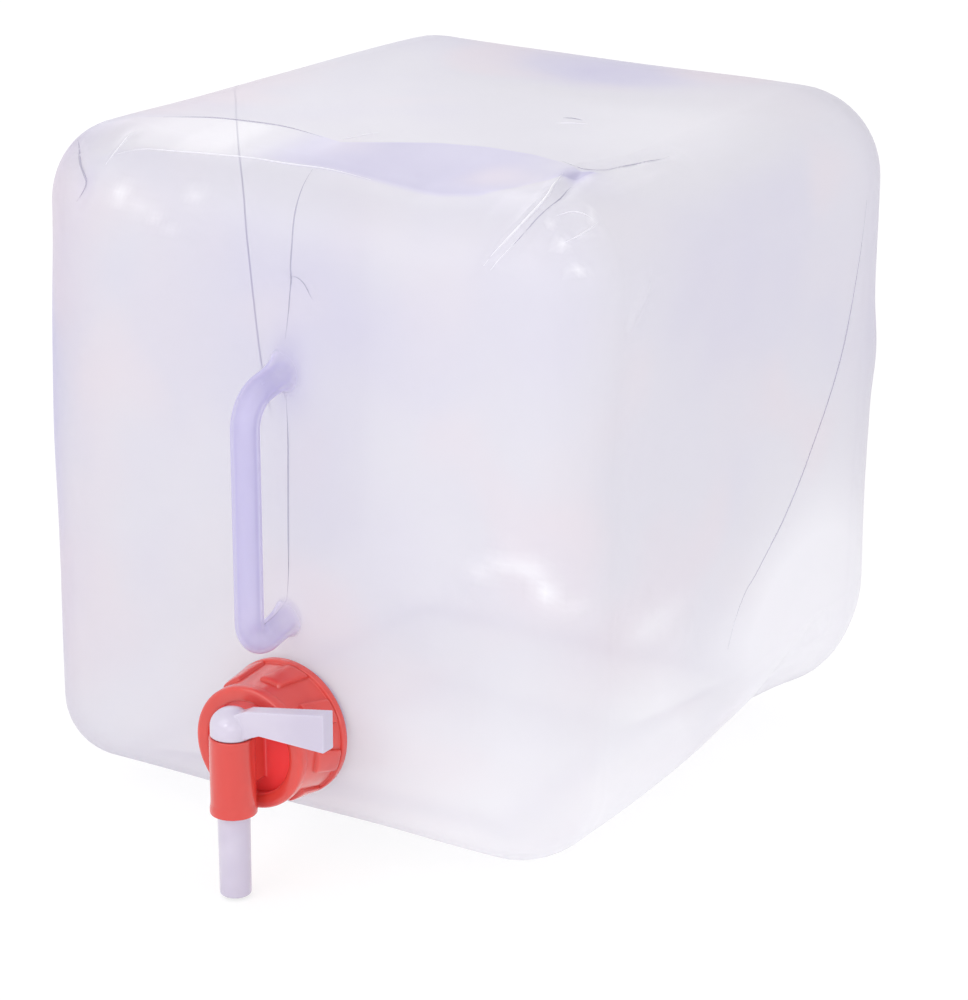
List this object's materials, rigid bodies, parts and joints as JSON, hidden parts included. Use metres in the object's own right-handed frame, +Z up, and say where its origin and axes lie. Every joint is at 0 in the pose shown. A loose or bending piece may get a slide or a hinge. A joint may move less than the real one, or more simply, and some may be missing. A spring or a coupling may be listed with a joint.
{
  "type": "collapsible water carrier",
  "caption": "Collapsible cube-shaped water carrier: a thin folding bag with a moulded handle and a screw-on tap low on its front wall.",
  "frame": {"origin": "middle of the base, on the surface that the bag stands on", "axes": "+Z up, -Y out of the front wall that holds the tap and the handle, +X to the right of someone who faces the tap"},
  "size_m": [0.2689, 0.331, 0.2896],
  "materials": {
    "film": "thin translucent low-density polyethylene, glossy",
    "handle": "the same polyethylene, thicker and deeper in tint",
    "red": "red moulded polypropylene, satin",
    "natural": "natural translucent polyethylene, satin",
    "gasket": "pale soft rubber"
  },
  "bodies": {
    "bag": {"bag_front_wall": "film", "bag_top_wall": "film", "bag_bottom_wall": "film", "bag_left_wall": "film", "bag_right_wall": "film", "bag_neck": "film", "carry_handle": "handle"},
    "bag_back": {"bag_back_wall": "film"},
    "tap": {"tap_body": "red", "neck_gasket": "gasket"},
    "collar": {"screw_collar": "red"},
    "key": {"tap_key": "natural"}
  },
  "joints": [
    {"name": "collapse", "type": "slide", "parent": "bag", "child": "bag_back", "axis": [0, -1, 0], "range_m": [0, 0.176], "deforming": ["bag_top_wall", "bag_bottom_wall", "bag_left_wall", "bag_right_wall"]},
    {"name": "tap_draw", "type": "slide", "parent": "bag", "child": "tap", "axis": [0, -1, 0], "range_m": [0, 0.0081]},
    {"name": "collar_unscrew", "type": "hinge", "parent": "tap", "child": "collar", "pos_m": [0, -0.142, 0.06], "axis": [0, -1, 0], "range_deg": [0, 720]},
    {"name": "key_turn", "type": "hinge", "parent": "tap", "child": "key", "pos_m": [0, -0.1803, 0.0698], "axis": [0, 0, 1], "range_deg": [-90, 0]}
  ],
  "couplings": [
    {"joint": "tap_draw", "follows": "collar_unscrew", "m_per_rad": 0.00063662}
  ]
}
